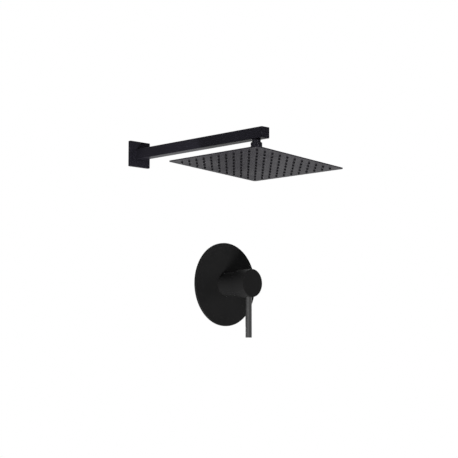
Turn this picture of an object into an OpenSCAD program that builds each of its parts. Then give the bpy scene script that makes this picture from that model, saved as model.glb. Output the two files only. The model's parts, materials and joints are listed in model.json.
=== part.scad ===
// Wall-mounted rain shower set in matte black: a square arm with a swivelling
// square rain head, and a concealed single-lever mixer with a round trim plate.
//
// The finished wall is the plane Y = 0. The set stands out of the wall towards -Y,
// what is plastered in lies at +Y, and +Z is up. The origin is where the axis of the
// shower arm meets the wall. All sizes are in millimetres.

/* [Shower arm] */
// Distance from the wall to the free end of the arm
arm_reach = 400; // [320:5:480]
// Outside width and height of the square arm tube
arm_w = 23; // [21:0.5:28]
// Wall thickness of the arm tube
arm_wall = 1.5; // [1:0.1:2.2]
// Radius of the long corners of the arm tube
arm_corner_r = 1; // [0.5:0.1:2]
// Distance from the wall to the rear end of the tube, inside the flange
arm_rear = 2; // [1:0.5:4]
// Distance from the free end back to the outlet axis
outlet_setback = 26; // [20:1:60]
// Thickness of the plate that closes the free end
end_cap_t = 1.5; // [1:0.1:3]
// Depth of the end cap's plug inside the tube
end_cap_plug = 6; // [3:0.5:10]

/* [Wall flange] */
// Width and height of the square wall flange
flange_w = 58; // [48:1:80]
// Depth of the flange from the wall to its front
flange_d = 7; // [5.5:0.5:12]
// Sheet thickness of the flange
flange_wall = 1.5; // [1:0.1:2]
// Corner radius of the flange
flange_corner_r = 1.5; // [0.5:0.5:4]
// Width of the rubber ring that grips the arm inside the flange
flange_seal_w = 4; // [2:0.5:6]
// Depth of that rubber ring
flange_seal_d = 3; // [2:0.5:3.5]

/* [Pipe threads] */
// Outside radius of the half-inch pipe thread
thread_r = 10.48; // [9:0.01:12]
// Length of the inlet thread behind the wall face
inlet_thread_len = 16; // [12:1:18]
// Length of the plug that holds the inlet nipple in the tube
inlet_plug_len = 18; // [8:1:30]
// Bore radius of the inlet nipple
inlet_bore_r = 7.5; // [5:0.1:8.5]
// Core radius of the female half-inch threads in the mixer body
port_bore_r = 9.3; // [8:0.1:10]
// Depth of those threads
port_depth = 15; // [10:1:16]

/* [Head swivel] */
// Radius of the neck that hangs below the arm
outlet_neck_r = 9; // [8:0.1:9.8]
// Visible length of that neck, from the arm down to the nut
outlet_neck_len = 6.7; // [4:0.1:12]
// Length of the thread inside the nut
outlet_thread_len = 6.5; // [5:0.1:9]
// Bore radius of the outlet nipple
outlet_bore_r = 6.5; // [4:0.1:7.5]
// Outside radius of the nut on top of the ball
nut_r = 12; // [11.8:0.1:14]
// Height of the nut
nut_h = 12; // [11.5:0.5:18]
// Radius of the swivel ball
ball_r = 10; // [9:0.5:12]
// Radius of the neck between the nut and the ball
ball_neck_r = 6.5; // [5.5:0.1:7]
// Clear height between the nut and the centre of the ball
ball_drop = 12; // [11.5:0.5:16]
// Radius of the water way through the ball
ball_bore_r = 3.2; // [2:0.1:3.5]
// Thickness of the liners round the ball
liner_t = 1.1; // [0.8:0.1:1.5]
// Outside radius of the swivel collar
collar_r = 15.5; // [15:0.5:19]
// Height of the swivel collar below the centre of the ball
collar_below = 12.5; // [11:0.5:15]

/* [Rain head] */
// Width and depth of the square head
head_w = 254; // [200:1:310]
// Corner radius of the head
head_corner_r = 5; // [2:0.5:12]
// Thickness of the face plate
face_t = 1; // [0.8:0.1:2]
// Thickness of the top plate's rim above the face plate
rim_t = 1.2; // [0.9:0.1:3]
// Sheet thickness of the top plate
top_sheet_t = 0.8; // [0.6:0.1:0.9]
// Height of the top plate above the face plate in the middle
top_rise = 6.3; // [4.5:0.1:12]
// Width of the slope round the top plate
slope_w = 40; // [20:1:60]
// Width of the flat joint between the two plates
rim_w = 5; // [3:0.5:8]
// Tilt of the head about the Y axis as it hangs at rest, right side down
head_tilt = 3.5; // [-8:0.5:8]
// Number of nozzles along each side
nozzle_count = 11; // [5:2:13]
// Distance between nozzles
nozzle_pitch = 21.4; // [12:0.1:24]
// Radius of a nozzle where it leaves the face plate
nozzle_r = 2.3; // [1.5:0.1:3]
// Radius of the water jet hole in a nozzle
jet_r = 0.6; // [0.4:0.1:0.9]
// Height that a nozzle stands out of the face
nozzle_out = 2.8; // [0.8:0.1:3]
// Thickness of the silicone mat that carries the nozzles
mat_t = 1.2; // [0.8:0.1:1.4]
// Width of the mat outside the last row of nozzles
mat_border = 5; // [3:0.5:10]

/* [Mixer trim] */
// Distance of the mixer axis to the right of the arm axis
valve_x = 273.5; // [230:0.5:400]
// Height of the mixer axis against the arm axis
valve_z = -284; // [-700:1:-250]
// Diameter of the round trim plate
plate_d = 200; // [150:1:230]
// Thickness of the trim plate
plate_t = 5; // [4.2:0.1:8]
// Depth of the recess in the back of the trim plate
plate_recess = 1; // [1:0.1:2.5]
// Thickness of the foam gasket behind the trim plate
gasket_t = 1.5; // [1:0.1:3]
// Width of the foam gasket
gasket_w = 14; // [6:1:20]
// Outside radius of the sleeve
sleeve_r = 28; // [28:0.5:32]
// Distance from the wall to the front of the sleeve
sleeve_front = 56; // [54.5:0.1:56.5]

/* [Mixer handle] */
// Outside radius of the handle hub
hub_r = 33; // [32:0.5:40]
// Distance from the wall to the rear edge of the hub, where it also pivots
hub_rear = 54; // [53.8:0.1:54.6]
// Distance from the wall to the front of the hub
hub_front = 95; // [93:1:115]
// Depth of the hollow in the back of the hub
hub_hollow = 18; // [17:0.5:19]
// Radius of the lever rod
lever_r = 7.5; // [5:0.1:8.5]
// Distance from the wall to the lever axis
lever_out = 82; // [81.5:0.5:84]
// Length of the lever below the hub
lever_len = 95; // [60:1:140]
// Chamfer at the end of the lever
lever_chamfer = 1; // [0.5:0.1:2]
// Largest lift of the handle from closed to fully open
lift_max = 20; // [12:1:21]
// Width of the square spindle
spindle_w = 8; // [6:0.1:8.2]
// Radius of the pin that the spindle pivots on
pivot_pin_r = 1.5; // [1:0.1:1.8]
// Distance from the pivot pin back to the spindle's ball
spindle_arm = 10.5; // [10:0.1:10.8]

/* [Mixer body] */
// Radius of the buried barrel
barrel_r = 26; // [25:0.5:34]
// Depth of the barrel behind the wall
barrel_depth = 45; // [42:1:60]
// Depth of the port axes behind the wall
port_axis_depth = 24; // [22:0.5:26]
// Distance from the mixer axis to the mouth of each port
port_reach = 42; // [38:1:56]
// Outside radius of the port bosses
port_boss_r = 13.5; // [12:0.5:15]
// Outside radius of the body neck under the sleeve
body_neck_r = 23.5; // [23:0.1:24.2]
// Distance between the two fixing holes
fixing_span = 68; // [64:1:90]
// Radius of the fixing holes
fixing_hole_r = 2.75; // [2:0.05:4]
// Outside radius of the ceramic cartridge
cartridge_r = 17.5; // [17:0.1:17.8]

/* [Hidden] */
$fn = 96;

// Clearances
eps = 0.5;
slip = 0.1;
running = 0.05;
seat_gap = 0.2;

// Finishes
black = "#1c1c1e";
dark_face = "#47464b";
rubber = "#111111";
brass = "#b08d57";
steel = "#b9bcc0";
acetal = "#d9d7cf";
ceramic_white = "#eeeae2";

// Shower arm
arm_inner_w = arm_w - 2 * arm_wall;
outlet_y = -(arm_reach - outlet_setback);
arm_under = -arm_w / 2;
flange_hole_gap = 0.3;
tip_chamfer = 1;

// Swivel, measured from the centre of the ball, +Z up
nut_top = ball_drop + nut_h;
ball_z = arm_under - outlet_neck_len - nut_top;
nipple_end = nut_top - outlet_thread_len;
washer_t = 2;
filter_t = 0.5;
nut_floor = nipple_end - washer_t - filter_t;
restrictor_h = 3;
restrictor_r = ball_bore_r + 0.8;
restrictor_seat = nut_floor - restrictor_h;
ball_cut = ball_r * 0.78;
liner_in_r = ball_r + slip;
liner_out_r = liner_in_r + liner_t;
socket_r = liner_out_r + slip;
lip_angle = 60;
lip_r = socket_r * sin(lip_angle);
lip_z = socket_r * cos(lip_angle);
collar_top = lip_z + 1.2;
split_z = -4;
boss_thread_r = collar_r - 2.4;
boss_flange_r = collar_r + 1.5;
boss_flange_t = 3.3;
boss_bore_r = 5;
boss_bottom = -collar_below - seat_gap - boss_flange_t;
top_inner_z = boss_bottom - top_rise;
face_z = top_inner_z - face_t;
slope = (top_rise - rim_t) / slope_w;
mat_w = (nozzle_count - 1) * nozzle_pitch + 2 * mat_border;
nozzle_tip_r = nozzle_r - 0.4;
nozzle_hole_gap = 0.2;

// Mixer, measured from the wall along the mixer axis
plate_back = gasket_t;
plate_front = gasket_t + plate_t;
plate_hole_r = sleeve_r + 0.4;
plate_edge_r = 1.5;
ring_wire_r = 1.2;
sleeve_wall = 2.2;
sleeve_bore_r = sleeve_r - sleeve_wall;
sleeve_rear = gasket_t + 0.5;
skirt_gap = 0.6;
hub_skirt_r = (sleeve_r + skirt_gap) / cos(lift_max);
hub_floor = hub_rear + hub_hollow;
hub_boss_r = 8.5;
hub_boss_rear = hub_rear + 8;
hub_chamfer = 0.8;
spindle_front = hub_floor + 8;
lever_seat_depth = 7;
lever_stub_r = lever_r - 3.5;
lever_stub_len = 10;
set_screw_r = 2.5;
set_screw_len = 10;
set_screw_out = hub_floor + 4;
cover_r = 3.2;
cover_t = 3;

// Cartridge, measured from the wall; the pivot lies in the plane of the hub's rear edge
pivot_out = hub_rear;
ball_end_out = pivot_out - spindle_arm;
ball_end_r = 3.2;
carrier_top = pivot_out - 7.5;
disc_t = 4;
carrier_flange_t = 4;
carrier_bottom = ball_end_out - ball_end_r - carrier_flange_t - 1.3;
moving_disc_bottom = carrier_bottom - disc_t;
fixed_disc_bottom = moving_disc_bottom - disc_t;
base_t = 5;
base_bottom = fixed_disc_bottom - base_t;
chamber_floor = base_bottom - seat_gap;
chamber_r = cartridge_r + slip;
housing_cavity_r = cartridge_r - 1.8;
disc_travel = spindle_arm * lift_max * PI / 180;
disc_gap = 0.3;
disc_r = housing_cavity_r - disc_travel - disc_gap;
rotor_r = 9.5;
rotor_flange_r = 11.5;
rotor_flange_t = 1.5;
rotor_bottom = pivot_out - 6.5;
rotor_top = pivot_out + 3;
housing_roof = rotor_bottom + rotor_flange_t + 1.5;
housing_neck_r = rotor_r + 3.3;
body_neck_front = housing_roof - 2.5;
neck_thread_r = cartridge_r + 3.5;
neck_step = body_neck_front - 14;
nut_ring_r = sleeve_bore_r - 0.8;
nut_ring_t = 2.5;
spanner_notches = 6;
body_shoulder = -2;
ring_groove_w = 3.4;
neck_ring_wire_r = 1.5;
neck_ring_r = sleeve_bore_r - running - neck_ring_wire_r;
neck_ring_places = [8, 22];
inlet_x = 7.5;
inlet_y = -4;
outlet_port_y = 7.5;
way_r = 3.2;
port_way_r = 5;
hex_boss_r = port_boss_r + 3;
hex_boss_h = 9;
lug_t = 4;
lug_w = 18;
water_ways = [[-inlet_x, inlet_y], [inlet_x, inlet_y], [0, outlet_port_y]];

// ---- Shared shapes ----

// Square outline with true round corners
module rounded_square(w, r) {
    square([w - 2 * r, w], center = true);
    square([w, w - 2 * r], center = true);
    for (sx = [-1, 1], sy = [-1, 1])
        translate([sx * (w / 2 - r), sy * (w / 2 - r)])
            circle(r = r, $fn = 32);
}

// Ring with a round section, lying round the Z axis
module round_ring(ring_r, wire_r) {
    rotate_extrude()
        translate([ring_r, 0])
            circle(r = wire_r, $fn = 24);
}

// Children drawn with Z pointing out of the wall and Y pointing up
module off_wall() {
    rotate([90, 0, 0])
        children();
}

// The same, on the mixer axis
module on_mixer() {
    translate([valve_x, 0, valve_z])
        off_wall()
            children();
}

// Children drawn from the centre of the swivel ball, square with the arm
module at_ball() {
    translate([0, outlet_y, ball_z])
        children();
}

// The same, tilted as the head hangs
module at_head() {
    at_ball()
        rotate([0, head_tilt, 0])
            children();
}

// Zone of a hollow sphere between two heights
module sphere_zone(inner_r, outer_r, low, high) {
    difference() {
        intersection() {
            sphere(r = outer_r);
            translate([0, 0, low])
                cylinder(r = outer_r + 1, h = high - low);
        }
        sphere(r = inner_r);
    }
}

// One copy of the children at each nozzle
module each_nozzle() {
    first = -(nozzle_count - 1) / 2 * nozzle_pitch;
    for (i = [0 : nozzle_count - 1], j = [0 : nozzle_count - 1])
        translate([first + i * nozzle_pitch, first + j * nozzle_pitch])
            children();
}

// Low pyramid on a square foot: flat foot edge, a slope all round and a flat middle
module low_pyramid(foot_w, foot_h, top_w, top_h) {
    profile = [
        [-foot_w / 2, 0], [foot_w / 2, 0], [foot_w / 2, foot_h],
        [top_w / 2, top_h], [-top_w / 2, top_h], [-foot_w / 2, foot_h]
    ];
    intersection() {
        rotate([90, 0, 0])
            linear_extrude(foot_w + 2, center = true)
                polygon(profile);
        rotate([90, 0, 90])
            linear_extrude(foot_w + 2, center = true)
                polygon(profile);
    }
}

// ---- Shower arm ----

// Square cover that hides the hole in the wall, open at the back
module wall_flange() {
    color(black)
        off_wall()
            difference() {
                linear_extrude(flange_d)
                    rounded_square(flange_w, flange_corner_r);
                translate([0, 0, -1])
                    linear_extrude(flange_d - flange_wall + 1)
                        square(flange_w - 2 * flange_wall, center = true);
                translate([0, 0, -1])
                    linear_extrude(flange_d + 2)
                        square(arm_w + 2 * flange_hole_gap, center = true);
            }
}

// Rubber ring that holds the flange on the arm
module flange_seal() {
    color(rubber)
        off_wall()
            translate([0, 0, flange_d - flange_wall - flange_seal_d])
                linear_extrude(flange_seal_d)
                    difference() {
                        square(arm_w + 2 * flange_seal_w, center = true);
                        square(arm_w + slip, center = true);
                    }
}

// Square tube with a hole in its underside for the outlet nipple
module shower_arm() {
    color(black)
        difference() {
            off_wall()
                translate([0, 0, arm_rear])
                    linear_extrude(arm_reach - end_cap_t - arm_rear)
                        difference() {
                            rounded_square(arm_w, arm_corner_r);
                            square(arm_inner_w, center = true);
                        }
            translate([0, outlet_y, arm_under - 1])
                cylinder(r = outlet_neck_r + running, h = arm_wall + 2);
        }
}

// Threaded nipple soldered into the wall end of the tube
module arm_inlet_nipple() {
    color(brass)
        off_wall()
            difference() {
                union() {
                    translate([0, 0, -inlet_thread_len + tip_chamfer])
                        cylinder(r = thread_r, h = inlet_thread_len - tip_chamfer + arm_rear);
                    translate([0, 0, -inlet_thread_len])
                        cylinder(r1 = thread_r - tip_chamfer, r2 = thread_r, h = tip_chamfer);
                    translate([0, 0, arm_rear])
                        linear_extrude(inlet_plug_len)
                            square(arm_inner_w - slip, center = true);
                }
                translate([0, 0, -inlet_thread_len - 1])
                    cylinder(r = inlet_bore_r, h = inlet_thread_len + inlet_plug_len + arm_rear + 2);
            }
}

// Plate with a plug that closes the free end of the tube
module arm_end_cap() {
    color(black)
        off_wall()
            translate([0, 0, arm_reach - end_cap_t]) {
                linear_extrude(end_cap_t)
                    rounded_square(arm_w, arm_corner_r);
                translate([0, 0, -end_cap_plug])
                    linear_extrude(end_cap_plug + eps)
                        square(arm_inner_w - slip, center = true);
            }
}

// Nipple that hangs below the arm, with a small flare where it is soldered on
module arm_outlet_nipple() {
    inside_h = arm_wall + 2;
    flare_h = 1.2;
    flare_w = 1.4;
    color(black)
        at_ball()
            difference() {
                union() {
                    translate([0, 0, nipple_end])
                        cylinder(r = thread_r, h = outlet_thread_len);
                    translate([0, 0, nut_top - eps])
                        cylinder(r = outlet_neck_r, h = outlet_neck_len + eps + inside_h);
                    translate([0, 0, nut_top + outlet_neck_len - flare_h])
                        cylinder(r1 = outlet_neck_r, r2 = outlet_neck_r + flare_w, h = flare_h);
                }
                translate([0, 0, nipple_end - 1])
                    cylinder(r = outlet_bore_r, h = outlet_thread_len + outlet_neck_len + inside_h + 2);
            }
}

// ---- Swivel ----

// Perforated steel disc that catches grit
module inlet_filter() {
    hole_r = 0.7;
    hole_step = 2.2;
    rings = 2;
    color(steel)
        at_ball()
            translate([0, 0, nut_floor])
                difference() {
                    cylinder(r = thread_r - slip, h = filter_t);
                    for (ring = [0 : rings], k = [0 : max(0, 6 * ring - 1)])
                        rotate([0, 0, ring == 0 ? 0 : 60 * k / ring])
                            translate([ring * hole_step, 0, -1])
                                cylinder(r = hole_r, h = filter_t + 2, $fn = 24);
                }
}

// Rubber washer between the filter and the end of the nipple
module inlet_washer() {
    color(rubber)
        at_ball()
            translate([0, 0, nut_floor + filter_t])
                difference() {
                    cylinder(r = thread_r - slip, h = washer_t);
                    translate([0, 0, -1])
                        cylinder(r = outlet_bore_r, h = washer_t + 2);
                }
}

// Plastic plug with small holes that limits the flow
module flow_restrictor() {
    hole_r = 0.6;
    hole_ring_r = 2.1;
    hole_count = 5;
    color(acetal)
        at_ball()
            translate([0, 0, restrictor_seat])
                difference() {
                    cylinder(r = restrictor_r - running, h = restrictor_h);
                    for (k = [0 : hole_count - 1])
                        rotate([0, 0, 360 * k / hole_count])
                            translate([hole_ring_r, 0, -1])
                                cylinder(r = hole_r, h = restrictor_h + 2, $fn = 24);
                }
}

// Nut, neck and ball in one piece, screwed on the outlet nipple
module ball_stem() {
    edge = 0.8;
    flat_w = 2 * nut_r - 1.4;
    color(black)
        at_ball()
            difference() {
                union() {
                    intersection() {
                        union() {
                            translate([0, 0, ball_drop])
                                cylinder(r1 = nut_r - edge, r2 = nut_r, h = edge);
                            translate([0, 0, ball_drop + edge])
                                cylinder(r = nut_r, h = nut_h - 2 * edge);
                            translate([0, 0, nut_top - edge])
                                cylinder(r1 = nut_r, r2 = nut_r - edge, h = edge);
                        }
                        translate([-nut_r - 1, -flat_w / 2, ball_drop - 1])
                            cube([2 * nut_r + 2, flat_w, nut_h + 2]);
                    }
                    cylinder(r = ball_neck_r, h = ball_drop + eps);
                    sphere(r = ball_r);
                }
                translate([0, 0, nut_floor])
                    cylinder(r = thread_r + running, h = nut_h + ball_drop);
                translate([0, 0, restrictor_seat])
                    cylinder(r = restrictor_r, h = restrictor_h + eps);
                translate([0, 0, -ball_r - 1])
                    cylinder(r = ball_bore_r, h = restrictor_seat + ball_r + 1 + eps);
                translate([0, 0, -ball_r - 1])
                    cylinder(r = ball_r, h = ball_r - ball_cut + 1);
            }
}

// Plastic ring between the top of the ball and the collar
module upper_ball_liner() {
    color(acetal)
        at_head()
            sphere_zone(liner_in_r, liner_out_r, 1.6, liner_out_r * cos(lip_angle));
}

// Rubber ring that seals the underside of the ball
module lower_ball_liner() {
    color(rubber)
        at_head()
            sphere_zone(liner_in_r, liner_out_r, -0.8 * liner_out_r, -0.3 * liner_out_r);
}

// Collar that holds the ball down on the head
module swivel_collar() {
    shoulder_z = 1.5;
    lip_w = 1.6;
    grip_depth = 0.5;
    grip_w = 1.2;
    color(black)
        at_head()
            difference() {
                union() {
                    translate([0, 0, -collar_below])
                        cylinder(r = collar_r, h = collar_below + shoulder_z);
                    translate([0, 0, shoulder_z])
                        cylinder(r1 = collar_r, r2 = lip_r + lip_w, h = collar_top - shoulder_z);
                }
                intersection() {
                    sphere(r = socket_r);
                    translate([0, 0, split_z - 1])
                        cylinder(r = socket_r + 1, h = 2 * socket_r);
                }
                cylinder(r = lip_r, h = collar_top + 1);
                translate([0, 0, -collar_below - 1])
                    cylinder(r = boss_thread_r + running, h = collar_below + split_z + 1);
                for (z = [-collar_below + 3, -collar_below + 7])
                    translate([0, 0, z])
                        difference() {
                            cylinder(r = collar_r + 1, h = grip_w);
                            translate([0, 0, -1])
                                cylinder(r = collar_r - grip_depth, h = grip_w + 2);
                        }
            }
}

// ---- Rain head ----

// Threaded boss welded on the top plate, with the cup under the ball
module head_inlet_boss() {
    color(black)
        at_head()
            difference() {
                union() {
                    translate([0, 0, boss_bottom])
                        cylinder(r = boss_thread_r, h = split_z - seat_gap - boss_bottom);
                    translate([0, 0, boss_bottom])
                        cylinder(r = boss_flange_r, h = boss_flange_t);
                }
                sphere(r = socket_r);
                translate([0, 0, boss_bottom - 1])
                    cylinder(r = boss_bore_r, h = -boss_bottom);
            }
}

// Pressed lid of the head, hollow underneath
module head_top_plate() {
    color(black)
        at_head()
            translate([0, 0, top_inner_z])
                difference() {
                    intersection() {
                        low_pyramid(head_w, rim_t, head_w - 2 * slope_w, top_rise);
                        linear_extrude(top_rise)
                            rounded_square(head_w, head_corner_r);
                    }
                    translate([0, 0, -eps])
                        low_pyramid(
                            head_w - 2 * rim_w,
                            rim_t + rim_w * slope - top_sheet_t + eps,
                            head_w - 2 * slope_w,
                            top_rise - top_sheet_t + eps
                        );
                    cylinder(r = boss_bore_r, h = top_rise + 1);
                }
}

// Flat face of the head with one hole for each nozzle
module head_face_plate() {
    color(dark_face)
        at_head()
            translate([0, 0, face_z])
                linear_extrude(face_t)
                    difference() {
                        rounded_square(head_w, head_corner_r);
                        each_nozzle()
                            circle(r = nozzle_r + nozzle_hole_gap, $fn = 24);
                    }
}

// Silicone mat inside the head, with every nozzle part of it
module nozzle_mat() {
    color(rubber)
        at_head()
            translate([0, 0, face_z])
                difference() {
                    union() {
                        translate([-mat_w / 2, -mat_w / 2, face_t])
                            cube([mat_w, mat_w, mat_t]);
                        each_nozzle()
                            cylinder(r = nozzle_r, h = face_t + eps, $fn = 24);
                        each_nozzle()
                            translate([0, 0, -nozzle_out])
                                cylinder(r1 = nozzle_tip_r, r2 = nozzle_r, h = nozzle_out, $fn = 24);
                    }
                    each_nozzle()
                        translate([0, 0, -nozzle_out - 1])
                            cylinder(r = jet_r, h = nozzle_out + face_t + mat_t + 2, $fn = 24);
                }
}

// ---- Mixer body ----

// One threaded port: a boss with a hexagonal mouth, along +X from the mixer axis
module port_boss() {
    rotate([0, 90, 0])
        cylinder(r = port_boss_r, h = port_reach - eps);
    translate([port_reach - hex_boss_h, 0, 0])
        rotate([0, 90, 0])
            cylinder(r = hex_boss_r, h = hex_boss_h, $fn = 6);
}

// The thread and the water way of that port, in to the given distance from the axis
module port_way(inner) {
    translate([port_reach - port_depth, 0, 0])
        rotate([0, 90, 0])
            cylinder(r = port_bore_r, h = port_depth + 1);
    translate([inner, 0, 0])
        rotate([0, 90, 0])
            cylinder(r = port_way_r, h = port_reach - inner - 1);
}

// Brass body buried in the wall: hot at the left, cold at the right, outlet on top
module mixer_body() {
    color(brass)
        on_mixer()
            difference() {
                union() {
                    translate([0, 0, -barrel_depth])
                        cylinder(r = barrel_r, h = barrel_depth + body_shoulder);
                    translate([0, 0, -barrel_depth])
                        cylinder(r = body_neck_r, h = barrel_depth + neck_step);
                    translate([0, 0, -barrel_depth])
                        cylinder(r = neck_thread_r, h = barrel_depth + body_neck_front);
                    for (turn = [0, 90, 180])
                        translate([0, 0, -port_axis_depth])
                            rotate([0, 0, turn])
                                port_boss();
                    translate([-fixing_span / 2, -lug_w / 2, -barrel_depth - lug_t])
                        cube([fixing_span, lug_w, lug_t + eps]);
                    for (side = [-1, 1])
                        translate([side * fixing_span / 2, 0, -barrel_depth - lug_t])
                            cylinder(r = lug_w / 2, h = lug_t);
                }
                translate([0, 0, chamber_floor])
                    cylinder(r = chamber_r, h = body_neck_front);
                for (way = water_ways)
                    translate([way.x, way.y, -port_axis_depth])
                        cylinder(r = way_r, h = port_axis_depth + chamber_floor + 1);
                translate([0, 0, -port_axis_depth]) {
                    port_way(inlet_x);
                    rotate([0, 0, 180])
                        port_way(inlet_x);
                    rotate([0, 0, 90])
                        port_way(outlet_port_y);
                }
                for (z = neck_ring_places)
                    translate([0, 0, z - ring_groove_w / 2])
                        difference() {
                            cylinder(r = body_neck_r + 1, h = ring_groove_w);
                            translate([0, 0, -1])
                                cylinder(r = neck_ring_r - neck_ring_wire_r - running, h = ring_groove_w + 2);
                        }
                for (side = [-1, 1])
                    translate([side * fixing_span / 2, 0, -barrel_depth - lug_t - 1])
                        cylinder(r = fixing_hole_r, h = lug_t + 2);
            }
}

// ---- Ceramic cartridge ----

// Plastic base with the three water ways and a recess for each seal
module cartridge_base() {
    recess_r = 5.3;
    recess_h = 1.4;
    color(acetal)
        on_mixer()
            difference() {
                translate([0, 0, base_bottom])
                    cylinder(r = cartridge_r, h = base_t);
                for (way = water_ways)
                    translate([way.x, way.y, base_bottom - 1]) {
                        cylinder(r = way_r, h = base_t + 2);
                        cylinder(r = recess_r, h = recess_h + 1);
                    }
            }
}

// Three rubber rings, one round each water way
module cartridge_seals() {
    wire_r = 0.75;
    ring_r = 4.3;
    color(rubber)
        on_mixer()
            for (way = water_ways)
                translate([way.x, way.y, chamber_floor + wire_r + running])
                    round_ring(ring_r, wire_r);
}

// Ceramic disc that stays still
module fixed_disc() {
    color(ceramic_white)
        on_mixer()
            difference() {
                translate([0, 0, fixed_disc_bottom])
                    cylinder(r = housing_cavity_r - slip, h = disc_t);
                for (way = water_ways)
                    translate([way.x, way.y, fixed_disc_bottom - 1])
                        cylinder(r = way_r, h = disc_t + 2);
            }
}

// Ceramic disc that slides on the fixed one, with a pocket that joins the water ways
module moving_disc() {
    pocket_r = 7.2;
    pocket_h = 2.2;
    color(ceramic_white)
        on_mixer()
            difference() {
                translate([0, 0, moving_disc_bottom])
                    cylinder(r = disc_r, h = disc_t);
                translate([0, outlet_port_y - 2.5, moving_disc_bottom - 1])
                    cylinder(r = pocket_r - 1.4, h = pocket_h + 1);
            }
}

// Plastic carrier that pushes the moving disc, with a socket for the spindle's ball
module disc_carrier() {
    tower_r = 6;
    color(acetal)
        on_mixer()
            difference() {
                union() {
                    translate([0, 0, carrier_bottom])
                        cylinder(r = disc_r, h = carrier_flange_t);
                    translate([0, 0, carrier_bottom])
                        cylinder(r = tower_r, h = carrier_top - carrier_bottom);
                }
                translate([0, 0, ball_end_out - ball_end_r - seat_gap])
                    cylinder(r = ball_end_r + 0.2, h = carrier_top);
            }
}

// Plastic shell of the cartridge, with the neck that the rotor turns in
module cartridge_housing() {
    color(acetal)
        on_mixer()
            difference() {
                union() {
                    translate([0, 0, fixed_disc_bottom])
                        cylinder(r = cartridge_r, h = housing_roof - fixed_disc_bottom);
                    translate([0, 0, housing_roof - eps])
                        cylinder(r = housing_neck_r, h = rotor_top - housing_roof + eps);
                }
                translate([0, 0, fixed_disc_bottom - 1])
                    cylinder(r = housing_cavity_r, h = rotor_bottom - fixed_disc_bottom + 1 - seat_gap);
                translate([0, 0, rotor_bottom - 1])
                    cylinder(r = rotor_flange_r + seat_gap, h = rotor_flange_t + 1 + slip);
                translate([0, 0, rotor_bottom])
                    cylinder(r = rotor_r + running, h = rotor_top);
            }
}

// Plastic rotor that turns with the handle and carries the pivot pin
module cartridge_rotor() {
    slot_w = spindle_w + 0.4;
    slot_gap = 0.4;
    bar_half = spindle_w / 2 / cos(lift_max);
    slot_low = -bar_half - (pivot_out - rotor_bottom) * tan(lift_max) - slot_gap;
    slot_high = bar_half + (rotor_top - pivot_out) * tan(lift_max) + slot_gap;
    color(acetal)
        on_mixer()
            difference() {
                union() {
                    translate([0, 0, rotor_bottom])
                        cylinder(r = rotor_r, h = rotor_top - rotor_bottom);
                    translate([0, 0, rotor_bottom])
                        cylinder(r = rotor_flange_r, h = rotor_flange_t);
                }
                translate([-slot_w / 2, slot_low, rotor_bottom - 1])
                    cube([slot_w, slot_high - slot_low, rotor_top - rotor_bottom + 2]);
                translate([-rotor_r - 1, 0, pivot_out])
                    rotate([0, 90, 0])
                        cylinder(r = pivot_pin_r, h = 2 * rotor_r + 2);
            }
}

// Steel pin that the spindle tilts on
module pivot_pin() {
    pin_half = 8.8;
    color(steel)
        on_mixer()
            translate([-pin_half, 0, pivot_out])
                rotate([0, 90, 0])
                    cylinder(r = pivot_pin_r, h = 2 * pin_half);
}

// Square spindle with a ball at its inner end
module spindle() {
    stem_r = 1.9;
    bar_rear = pivot_out - 4;
    color(brass)
        on_mixer()
            difference() {
                union() {
                    translate([-spindle_w / 2, -spindle_w / 2, bar_rear])
                        cube([spindle_w, spindle_w, spindle_front - bar_rear]);
                    translate([0, 0, ball_end_out])
                        cylinder(r = stem_r, h = bar_rear - ball_end_out + eps);
                    translate([0, 0, ball_end_out])
                        sphere(r = ball_end_r, $fn = 48);
                }
                translate([-spindle_w, 0, pivot_out])
                    rotate([0, 90, 0])
                        cylinder(r = pivot_pin_r + running, h = 2 * spindle_w);
            }
}

// Ring nut that holds the cartridge in the body, with notches for a pin spanner
module retaining_nut() {
    notch_w = 4;
    notch_depth = 1.6;
    nut_rear = neck_step + 0.5;
    nut_front = housing_roof + nut_ring_t;
    color(brass)
        on_mixer()
            difference() {
                translate([0, 0, nut_rear])
                    cylinder(r = nut_ring_r, h = nut_front - nut_rear);
                translate([0, 0, nut_rear - 1])
                    cylinder(r = neck_thread_r + running, h = housing_roof - nut_rear + 1);
                translate([0, 0, nut_rear])
                    cylinder(r = housing_neck_r + slip, h = nut_front);
                for (k = [0 : spanner_notches - 1])
                    rotate([0, 0, 360 * k / spanner_notches])
                        translate([nut_ring_r - notch_depth, -notch_w / 2, housing_roof])
                            cube([notch_depth + 1, notch_w, nut_ring_t + 1]);
            }
}

// ---- Mixer trim ----

// Two rubber rings in the neck's grooves, which the sleeve is pushed over
module sleeve_o_rings() {
    color(rubber)
        on_mixer()
            for (z = neck_ring_places)
                translate([0, 0, z])
                    round_ring(neck_ring_r, neck_ring_wire_r);
}

// Rubber ring that holds the trim plate on the sleeve
module plate_o_ring() {
    color(rubber)
        on_mixer()
            translate([0, 0, plate_back + plate_t / 2])
                round_ring(sleeve_r + running + ring_wire_r, ring_wire_r);
}

// Foam ring between the trim plate and the wall
module plate_gasket() {
    ring_r = plate_d / 2 - plate_edge_r - 1;
    color(rubber)
        on_mixer()
            linear_extrude(gasket_t)
                difference() {
                    circle(r = ring_r);
                    circle(r = ring_r - gasket_w);
                }
}

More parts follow.
